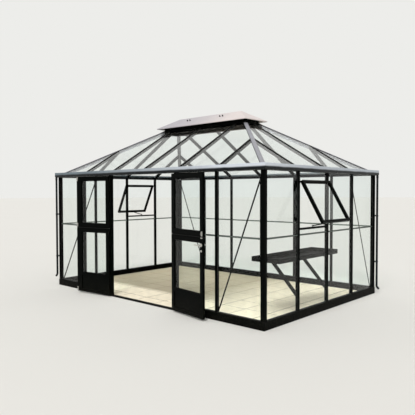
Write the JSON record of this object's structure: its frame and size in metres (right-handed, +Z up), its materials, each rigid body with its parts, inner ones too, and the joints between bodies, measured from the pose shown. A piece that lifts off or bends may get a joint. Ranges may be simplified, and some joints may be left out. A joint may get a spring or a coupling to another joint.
{
  "type": "glass greenhouse",
  "caption": "Rectangular glass greenhouse with a black metal frame, hipped glass roof, raised ridge vent cap, split double doors folded back and open side windows.",
  "frame": {"origin": "middle of the base frame's footprint, on the ground", "axes": "+X along the front to the right seen from outside, -Y out of the front, +Z up"},
  "size_m": [5.0819, 3.24, 2.9035],
  "materials": {
    "black_frame_coating": "satin powder coat",
    "gutter_coating": "satin powder coat",
    "clear_glass": "clear float glass",
    "stainless_fittings": "brushed",
    "rubber_seal": "matt",
    "pale_sandstone": "sawn"
  },
  "bodies": {
    "house": {"base_rail_back": "black_frame_coating", "base_rail_front": "black_frame_coating", "base_rail_left": "black_frame_coating", "base_rail_right": "black_frame_coating", "cap_straps": "black_frame_coating", "corner_posts": "black_frame_coating", "door_jambs": "black_frame_coating", "downpipe_clips": "gutter_coating", "downpipes": "gutter_coating", "eave_gutter_back": "gutter_coating", "eave_gutter_front": "gutter_coating", "eave_gutter_left": "gutter_coating", "eave_gutter_right": "gutter_coating", "floor_slab": "pale_sandstone", "glass_joint_strips": "rubber_seal", "glazing_bars_back": "black_frame_coating", "glazing_bars_front": "black_frame_coating", "glazing_bars_left": "black_frame_coating", "glazing_bars_right": "black_frame_coating", "hip_bars": "black_frame_coating", "jamb_hinges": "black_frame_coating", "rafters_back": "black_frame_coating", "rafters_front": "black_frame_coating", "rafters_left": "black_frame_coating", "rafters_right": "black_frame_coating", "ridge_cap": "black_frame_coating", "ridge_curb": "black_frame_coating", "roof_glass_back": "clear_glass", "roof_glass_front": "clear_glass", "roof_glass_left": "clear_glass", "roof_glass_right": "clear_glass", "staging_arms": "black_frame_coating", "staging_tray": "black_frame_coating", "threshold": "black_frame_coating", "wall_glass_back": "clear_glass", "wall_glass_front": "clear_glass", "wall_glass_left": "clear_glass", "wall_glass_right": "clear_glass", "wind_braces": "black_frame_coating", "window_panes": "clear_glass", "window_rails": "black_frame_coating", "window_sashes": "black_frame_coating", "window_stays": "stainless_fittings"},
    "left_upper_leaf": {"left_upper_bolts": "stainless_fittings", "left_upper_frame": "black_frame_coating", "left_upper_glass": "clear_glass"},
    "left_lower_leaf": {"left_kick_panel": "black_frame_coating", "left_lower_bolts": "stainless_fittings", "left_lower_frame": "black_frame_coating", "left_lower_glass": "clear_glass"},
    "right_upper_leaf": {"right_upper_bolts": "stainless_fittings", "right_upper_frame": "black_frame_coating", "right_upper_glass": "clear_glass"},
    "right_lower_leaf": {"right_kick_panel": "black_frame_coating", "right_lower_frame": "black_frame_coating", "right_lower_glass": "clear_glass", "right_lower_handles": "stainless_fittings"}
  },
  "joints": [
    {"name": "left_upper_leaf_hinge", "type": "hinge", "parent": "house", "child": "left_upper_leaf", "pos_m": [-0.712, -1.506, 1.47], "axis": [0, 0, 1], "range_deg": [0, 171]},
    {"name": "left_lower_leaf_hinge", "type": "hinge", "parent": "house", "child": "left_lower_leaf", "pos_m": [-0.712, -1.506, 0.545], "axis": [0, 0, 1], "range_deg": [0, 171]},
    {"name": "right_upper_leaf_hinge", "type": "hinge", "parent": "house", "child": "right_upper_leaf", "pos_m": [0.712, -1.506, 1.47], "axis": [0, 0, 1], "range_deg": [-170, 0]},
    {"name": "right_lower_leaf_hinge", "type": "hinge", "parent": "house", "child": "right_lower_leaf", "pos_m": [0.712, -1.506, 0.545], "axis": [0, 0, 1], "range_deg": [-170, 0]}
  ]
}
